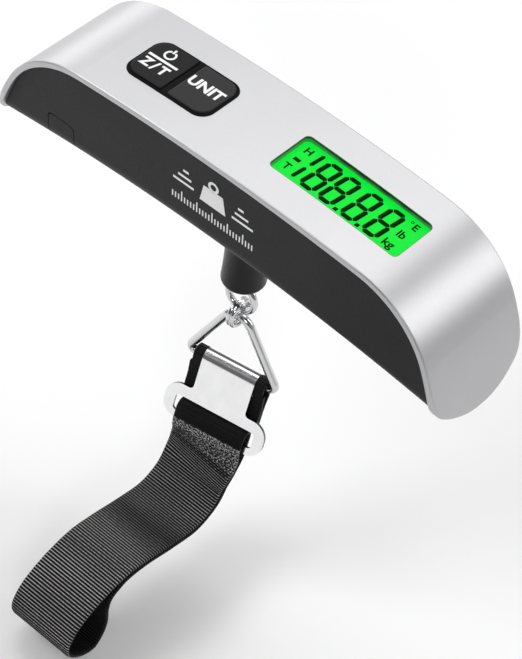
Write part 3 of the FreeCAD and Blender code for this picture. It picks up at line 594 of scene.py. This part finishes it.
def circle(radius, count, start=0.0, sweep=360.0):
    """Points round a circle, or along a part of it."""
    steps = count if sweep == 360.0 else count + 1
    turn = [math.radians(start + sweep * k / count) for k in range(steps)]
    return [(radius * math.cos(a), radius * math.sin(a)) for a in turn]


def face_up(plane, lift):
    return Plane(plane.at(0, 0, lift), plane.along, plane.across, plane.bend)


def shifted_plane(plane, x, y):
    return Plane(plane.at(x, y), plane.along, plane.across, plane.bend)


# Key legends


def make_legends():
    """The marks on the two keys, which lean and bend with the crown."""
    for node, body, draw in (("power_key", "power_button", draw_power_mark),
                             ("unit_key", "unit_button", draw_unit_mark)):
        low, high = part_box(node)
        lean = math.radians(-2.7 if node == "power_key" else -1.4)
        along = Vector((math.cos(lean), 0, -math.sin(lean)))
        middle = (low.x + high.x) / 2
        top = surface_height(node, middle, 0)
        draw(Plane((middle, 0, top), along, (0, 1, 0), bend=588.0), body)


def surface_height(node, x, y):
    """The height of a CAD node's top surface at a point."""
    hit, where, _, _ = cad_node(node).ray_cast(Vector((x, y, 1.0)), Vector((0, 0, -1.0)))
    if not hit:
        raise RuntimeError(f"{node} has no surface at {x}, {y}")
    return where.z


def draw_power_mark(plane, body):
    """The standby sign over a bar, and the letters under it."""
    mark = bmesh.new()
    outer = circle(1.75, 40, 112, 316)
    inner = list(reversed(circle(1.15, 40, 112, 316)))
    sign = shifted_plane(plane, -0.6, 3.55)
    slab(mark, sign, outer + inner, INK_THICK)
    slab(mark, sign, [(-0.3, 0.9), (0.3, 0.9), (0.3, 2.4), (-0.3, 2.4)], INK_THICK)
    slab(mark, plane, [(-5.1, 0.35), (4.3, 0.35), (4.3, 1.15), (-5.1, 1.15)], INK_THICK)
    piece("power_mark", mark, "ink", body, smooth=False)
    for name, words, x, size in (("power_mark_zero", "Z", -3.3, 4.2),
                                 ("power_mark_slash", "/", -0.6, 4.4),
                                 ("power_mark_tare", "T", 2.2, 4.2)):
        text_outline(words, size, shifted_plane(plane, x, -2.2), INK_THICK / 2, name, "ink", body,
                     stroke=LEGEND_WEIGHT)


def draw_unit_mark(plane, body):
    text_outline("UNIT", 4.6, shifted_plane(plane, -0.2, 0.65), INK_THICK / 2, "unit_mark", "ink",
                 body, stroke=LEGEND_WEIGHT)


# The mark on the front wall: a plain weight and a row of scale ticks, in place of the printing


def wall_plane():
    """A drawing plane on the front wall, which leans by its draft."""
    lean = math.radians(3.5)
    z = 22 * MM
    _, where, _, _ = cad_node("lower_housing").ray_cast(Vector((0, -1, z)), Vector((0, 1, 0)))
    return Plane((0, where.y, z), (1, 0, 0), (0, -math.sin(lean), math.cos(lean)))


def bar_outline(x0, x1, low, tall):
    """The corners of an upright rectangle."""
    return [(x0, low), (x1, low), (x1, low + tall), (x0, low + tall)]


def make_wall_mark():
    face = wall_plane()
    mark = bmesh.new()
    weight = [(-4.2, -3.2), (4.2, -3.2), (3.1, 2.4), (-3.1, 2.4)]
    slab(mark, shifted_plane(face, 0.0, 3.2), weight, MARK_THICK)
    slab(mark, shifted_plane(face, 0.0, 6.9), circle(1.7, 32), MARK_THICK, [circle(0.95, 32)])
    for side in (-1, 1):
        for k in range(3):
            x0, x1 = sorted((side * (6.2 + 0.9 * k), side * (13.0 - 1.6 * k)))
            slab(mark, face, bar_outline(x0, x1, 1.2 + 2.1 * k, 0.75), MARK_THICK)
    for k in range(27):
        x = k - 13
        tall = 3.4 if k % 5 == 3 else 2.0
        slab(mark, face, bar_outline(x - 0.2, x + 0.2, -5.4, tall), MARK_THICK)
    piece("wall_mark", mark, "ink", "housing", smooth=False)


# The strap


def spline(points, closed, step):
    """Points evenly spaced along a smooth curve through the given ones, and their total length."""
    count = len(points)
    dense = []
    spans = count if closed else count - 1
    for i in range(spans):
        if closed:
            p = [Vector(points[(i + k) % count]) for k in (-1, 0, 1, 2)]
        else:
            p = [Vector(points[min(max(i + k, 0), count - 1)]) for k in (-1, 0, 1, 2)]
        knots = [0.0]
        for a, b in zip(p, p[1:]):
            knots.append(knots[-1] + max((b - a).length, 1e-6) ** 0.5)
        for n in range(24):
            t = knots[1] + (knots[2] - knots[1]) * n / 24
            dense.append(catmull(p, knots, t))
    dense.append(Vector(points[0]) if closed else Vector(points[-1]))
    lengths = [0.0]
    for a, b in zip(dense, dense[1:]):
        lengths.append(lengths[-1] + (b - a).length)
    total = lengths[-1]
    steps = max(2, round(total / step))
    even, j = [], 0
    for n in range(steps + 1):
        target = total * n / steps
        while j < len(lengths) - 2 and lengths[j + 1] < target:
            j += 1
        share = (target - lengths[j]) / max(lengths[j + 1] - lengths[j], 1e-9)
        even.append(dense[j].lerp(dense[j + 1], min(max(share, 0), 1)))
    return even, total


def catmull(p, knots, t):
    def mix(a, b, ta, tb):
        return a * ((tb - t) / (tb - ta)) + b * ((t - ta) / (tb - ta))

    a = [mix(p[k], p[k + 1], knots[k], knots[k + 1]) for k in range(3)]
    b = [mix(a[k], a[k + 1], knots[k], knots[k + 2]) for k in range(2)]
    return mix(b[0], b[1], knots[1], knots[2])


def ribbon(name, line, frames, half_width, thick, body, closed, look="webbing"):
    """Webbing along a line: both faces carry cross ribs and its edges are rounded selvages."""
    mesh = bmesh.new()
    uv = mesh.loops.layers.uv.new("weave")
    rows, run = [], 0.0
    across = [-1, -0.985, -0.94, -0.86, -0.6, -0.3, 0, 0.3, 0.6, 0.86, 0.94, 0.985, 1]
    for i, centre in enumerate(line):
        if i:
            run += (centre - line[i - 1]).length
        side, up = frames[i]
        rib = RIB_DEPTH * (0.5 - 0.5 * math.cos(2 * math.pi * run / (RIB / MM)))
        ring = []
        for face in (1, -1):
            for u in (across if face == 1 else list(reversed(across))):
                edge = max(0.0, (abs(u) - 0.94) / 0.06)
                height = thick / 2 * math.sqrt(max(0.0, 1 - edge * edge * 0.85))
                lift = face * (height - rib * (1 - edge))
                weft = u * half_width + (INSIDE / MM if face < 0 else 0)
                ring.append((centre + side * u * half_width + up * lift, weft, run))
        rows.append([(mesh.verts.new(point * MM), x * MM, y * MM) for point, x, y in ring])
    count = len(rows[0])
    for i in range(len(rows) - 1):
        for k in range(count):
            a, b = rows[i][k], rows[i][(k + 1) % count]
            c, e = rows[i + 1][(k + 1) % count], rows[i + 1][k]
            face = mesh.faces.new((a[0], b[0], c[0], e[0]))
            for loop, corner in zip(face.loops, (a, b, c, e)):
                loop[uv].uv = (corner[1], corner[2])
    if not closed:
        for row in (rows[0], rows[-1]):
            mesh.faces.new([corner[0] for corner in row])
    else:
        bmesh.ops.remove_doubles(mesh, verts=mesh.verts, dist=1e-7)
    return piece(name, mesh, look, body)


def direction(line, i):
    before, after = line[max(i - 1, 0)], line[min(i + 1, len(line) - 1)]
    return (after - before).normalized()


def strap_frames(line, yaw_at):
    """The side and face directions along the strap, which twists a little as it falls."""
    frames = []
    for i, point in enumerate(line):
        forward = direction(line, i)
        yaw = yaw_at(point)
        side = Vector((math.cos(yaw), math.sin(yaw), 0))
        side = (side - forward * side.dot(forward)).normalized()
        frames.append((side, forward.cross(side).normalized()))
    return frames


def make_strap():
    """One closed band: from its fold over the plate, down the front, round the end and back."""
    path = [(-6.67, -62.03), (-8.24, -62.10), (-9.30, -63.26), (-9.85, -64.75), (-10.36, -66.17),
            (-10.6, -68.3), (-10.35, -70.6), (-10.4, -74), (-11.4, -79.6), (-14.6, -85.2),
            (-20.5, -88.3), (-30, -87.5), (-40.5, -85.6), (-48, -84.9), (-55, -86.2),
            (-61, -88.5), (-66.3, -92.0), (-69.3, -97), (-68.6, -101), (-63.2, -105.6),
            (-59.3, -106.3), (-56.6, -103.6), (-55.0, -99.6), (-54.8, -93.6), (-53.8, -90.2),
            (-50.6, -88.0), (-47.5, -87.0), (-40.5, -87.2), (-30, -89.2), (-20.2, -90.0),
            (-12.9, -86.0), (-9.5, -79.8), (-8.3, -74), (-7.2, -70.3), (-6.51, -67.57),
            (-5.98, -66.1), (-5.45, -64.66), (-5.52, -63.09)]
    line, total = spline([(0, y, z) for y, z in path], True, CURVE_STEP)

    def yaw_at(point):
        twist_top, twist_reach = -68, 14
        drop = min(max((twist_top - point.z) / twist_reach, 0.0), 1.0)
        ease = drop * drop * (3 - 2 * drop)
        return math.radians(HOOK_YAW * (1 - ease))

    line = [Matrix.Rotation(yaw_at(point), 3, "Z") @ point for point in line]
    frames = strap_frames(line, yaw_at)
    band = ribbon("strap_webbing", line, frames, 10.5, 1.2, "strap", True)
    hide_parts("strap_loop")
    return line, frames


def make_stitches(line, frames):
    """Rows of lock stitches that close the fold under the plate, as short raised threads."""
    rng = random.Random(7)
    mesh = bmesh.new()
    rows = [n for n, point in enumerate(line[: len(line) // 3]) if -75.5 < point.z < -68.2]
    row_pitch = 0.9
    for i in rows[:: max(1, round(row_pitch / CURVE_STEP))]:
        side, up = frames[i]
        forward = side.cross(up).normalized()
        outward = up if up.y < 0 else -up
        for k in range(15):
            u = -9.1 + 1.3 * k + rng.uniform(-0.12, 0.12) + (0.3 if i % 2 else -0.3)
            centre = line[i] + side * u + outward * 0.62
            thread(mesh, centre, side * 0.42 + forward * rng.uniform(-0.12, 0.12), outward, 0.16)
    stitches = piece("strap_stitches", mesh, "thread", "strap")


def thread(mesh, centre, reach, up, radius):
    """One stitch: a short arched capsule."""
    stations = 5
    across = reach.cross(up).normalized()
    rings = []
    for n in range(stations + 1):
        t = n / stations * 2 - 1
        size = radius * math.sqrt(max(0.05, 1 - t * t))
        middle = centre + reach * t + up * 0.10 * (1 - t * t)
        rings.append([
            mesh.verts.new((middle + (across * math.cos(a) + up * math.sin(a)) * size) * MM)
            for a in (math.pi * k / 3 for k in range(6))
        ])
    for a, b in zip(rings, rings[1:]):
        for k in range(6):
            mesh.faces.new((a[k], a[(k + 1) % 6], b[(k + 1) % 6], b[k]))
    mesh.faces.new(rings[0])
    mesh.faces.new(rings[-1])


def make_anchor():
    """The sewn strap end: two layers of webbing round the base bar, behind the plate."""
    place = hook_frame()
    side = place.to_3x3() @ Vector((1, 0, 0))
    wrap = [(1.95 * math.cos(a), 1.95 * math.sin(a)) for a in
            (math.radians(180 - 22.5 * k) for k in range(9))]
    path = [(-0.62, -12.6), (-0.62, -10), (-0.68, -6.5), (-1.3, -3.2)] + wrap
    path += [(1.3, -3.2), (0.68, -6.5), (0.62, -10), (0.62, -12.6)]
    line, _ = spline([(0, y, z) for y, z in path], False, CURVE_STEP)
    neck, wide, flare = 8.15, 10.95, 11.5

    def band(name, left, right, part):
        run = [place @ (point + Vector(((left + right) / 2, 0, 0))) for point in part]
        frames = []
        for i in range(len(run)):
            forward = direction(run, i)
            frames.append((side, forward.cross(side).normalized()))
        # The anchor's bands wear the painted-shade copy of the webbing.
        return ribbon(name, run, frames, (right - left) / 2, 1.1, "hook", False, "webbing_shaded")

    bands = [band("anchor_webbing_left", -wide, -neck, line),
             band("anchor_webbing_right", neck, wide, line)]
    for name, sign in (("front", -1), ("back", 1)):
        lower = [point for point in line if point.z < -5.3 and point.y * sign > 0]
        bands.append(band("anchor_webbing_" + name, -neck, neck, lower))
        edge = [point for point in line if point.z < -2.2 and point.y * sign > 0]
        bands.append(band("anchor_left_edge_" + name, -flare, -wide, edge))
        bands.append(band("anchor_right_edge_" + name, wide, flare, edge))
    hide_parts("strap_anchor")


# Surroundings


def make_camera():
    """The viewpoint: angles in degrees, distances in metres, the lens in millimetres."""
    azimuth, elevation, roll = math.radians(36.21), math.radians(47.52), math.radians(7.62)
    towards = Vector((math.sin(azimuth) * math.cos(elevation),
                      -math.cos(azimuth) * math.cos(elevation), math.sin(elevation)))
    right = Vector((math.cos(azimuth), math.sin(azimuth), 0))
    up = towards.cross(right)
    right, up = (right * math.cos(roll) + up * math.sin(roll),
                 up * math.cos(roll) - right * math.sin(roll))
    target, distance = Vector((0.0145, -0.0095, -0.0149)), 0.65114
    data = bpy.data.cameras.new("camera")
    data.lens = 142.45
    data.sensor_width = 36
    data.clip_start = 0.01
    camera = bpy.data.objects.new("camera", data)
    axes = Matrix((right, up, towards)).transposed().to_4x4()
    camera.matrix_world = Matrix.Translation(target + towards * distance) @ axes
    bpy.context.collection.objects.link(camera)
    bpy.context.scene.camera = camera


def area_light(name, place, size, power):
    """A white rectangular lamp that faces the scale."""
    data = bpy.data.lights.new(name, "AREA")
    data.shape = "RECTANGLE"
    data.size, data.size_y = size
    data.energy = power
    light = bpy.data.objects.new(name, data)
    light.location = place
    away = Vector(place) - Vector((0, 0, -0.02))
    light.rotation_euler = away.to_track_quat("Z", "Y").to_euler()
    bpy.context.collection.objects.link(light)


def make_studio():
    """A world that is darker in front than behind, and five lamps."""
    world = bpy.data.worlds.new("studio")
    bpy.context.scene.world = world
    world.use_nodes = True
    tree = world.node_tree
    where = tree.nodes.new("ShaderNodeTexCoord")
    parts = tree.nodes.new("ShaderNodeSeparateXYZ")
    rise = tree.nodes.new("ShaderNodeMapRange")
    for key, number in (("From Min", -0.7), ("From Max", 0.7),
                        ("To Min", 0.13), ("To Max", 0.58)):
        rise.inputs[key].default_value = number
    tree.links.new(where.outputs["Generated"], parts.inputs["Vector"])
    tree.links.new(parts.outputs["Y"], rise.inputs["Value"])
    tree.links.new(rise.outputs["Result"], tree.nodes["Background"].inputs["Strength"])
    tree.nodes["Background"].inputs["Color"].default_value = (1, 1, 1, 1)
    area_light("overhead_light", (-0.30, 0.50, 1.00), (1.2, 0.8), 5.8)
    area_light("bend_light", (0.75, 0.62, 0.60), (0.24, 0.7), 2.6)
    area_light("shoulder_light", (-1.15, 0.75, 0.30), (0.7, 0.6), 2.7)
    area_light("front_light", (-0.75, -0.6, 0.9), (0.7, 0.4), 7.2)
    area_light("rim_light", (0.85, -1.05, 0.80), (0.3, 0.3), 3.0)


def make_floor():
    """A plain pale floor just below the scale's lowest point at rest."""
    floor = bmesh.new()
    bmesh.ops.create_grid(floor, x_segments=4, y_segments=4, size=6.0)
    data = bpy.data.meshes.new("floor")
    floor.to_mesh(data)
    floor.free()
    ground = bpy.data.objects.new("floor", data)
    ground.location.z = CAD_BOX[0][2] - FLOOR_DROP * MM
    bpy.context.collection.objects.link(ground)
    look = Look("floor_pale", (0.93, 0.93, 0.93), 0.8)
    look.vary_colour(look.ranged(look.noise(3, 2.0), 0, 1), (0.91, 0.91, 0.91), 0.5)
    data.materials.append(look.material)


def make_view():
    view = bpy.context.scene.view_settings
    view.view_transform = "Standard"
    view.look = "None"


make_camera()
make_studio()
make_floor()
make_view()
make_display()
make_legends()
make_wall_mark()
strap_line, strap_sides = make_strap()
make_stitches(strap_line, strap_sides)
make_anchor()
